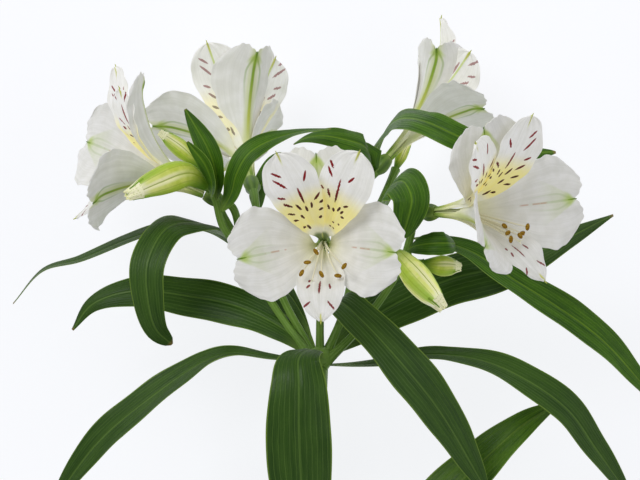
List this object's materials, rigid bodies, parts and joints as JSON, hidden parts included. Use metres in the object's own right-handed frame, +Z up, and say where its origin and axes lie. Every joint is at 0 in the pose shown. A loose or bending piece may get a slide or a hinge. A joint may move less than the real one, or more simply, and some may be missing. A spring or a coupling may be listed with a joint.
{
  "type": "cut alstroemeria stem",
  "caption": "Cut alstroemeria stem lying down: a leafy stalk with a whorl of leaves under an umbel of white trumpet blooms with crimson streaks, and green-white buds.",
  "frame": {"origin": "on the table under the middle of the whole stem's bounding box", "axes": "+Y along the stem from the cut end to the flowers, +Z up from the table, +X to the right when seen from above with the flowers at the top"},
  "size_m": [0.2488, 0.5031, 0.1215],
  "materials": {
    "stem": "smooth fresh green stalk, satin, faint lengthwise ribs",
    "stem_leaf": "dark green leaf with paler parallel veins, soft waxy gloss",
    "flower_leaf": "bright green leaf with paler parallel veins, soft waxy gloss",
    "ovary": "six-ribbed green ovary, satin",
    "bud": "pale yellow-green bud with green ridges and a white tip, satin",
    "tepals": "matt silky white petals, yellow throat with crimson streaks, green points",
    "stamens": "cream threads with ochre-olive anthers, matt"
  },
  "bodies": {
    "root": {"stem": "stem", "whorl_leaf_front": "stem_leaf", "whorl_leaf_left_low": "stem_leaf", "whorl_leaf_left_broad": "stem_leaf", "whorl_leaf_left_long": "stem_leaf", "whorl_leaf_left_hanging": "stem_leaf", "whorl_leaf_right_low": "stem_leaf", "whorl_leaf_right_broad": "stem_leaf", "whorl_leaf_right_front": "stem_leaf", "whorl_leaf_back": "stem_leaf", "flower_leaf_right_upper": "flower_leaf", "flower_leaf_left_upright": "flower_leaf", "flower_leaf_left_small": "flower_leaf", "flower_leaf_left_arching": "flower_leaf", "flower_leaf_right_arching": "flower_leaf", "flower_leaf_left_inner": "flower_leaf", "flower_leaf_middle_folded": "flower_leaf", "flower_leaf_right_folded": "flower_leaf", "flower_leaf_right_small": "flower_leaf", "stem_leaf_right_high": "stem_leaf", "stem_leaf_front": "stem_leaf", "stem_leaf_left_high": "stem_leaf", "stem_leaf_right_middle": "stem_leaf", "stem_leaf_left_low": "stem_leaf", "stem_leaf_right_low": "stem_leaf", "left_bud": "bud", "left_back_bud": "bud", "right_bud": "bud", "right_small_bud": "bud", "hidden_bud": "bud", "front_bloom_ovary": "ovary", "front_bloom_tepals": "tepals", "front_bloom_stamens": "stamens", "right_bloom_ovary": "ovary", "right_bloom_tepals": "tepals", "right_bloom_stamens": "stamens", "left_bloom_ovary": "ovary", "left_bloom_tepals": "tepals", "left_bloom_stamens": "stamens", "back_left_bloom_ovary": "ovary", "back_left_bloom_tepals": "tepals", "back_left_bloom_stamens": "stamens", "back_right_bloom_ovary": "ovary", "back_right_bloom_tepals": "tepals", "back_right_bloom_stamens": "stamens"}
  },
  "joints": []
}
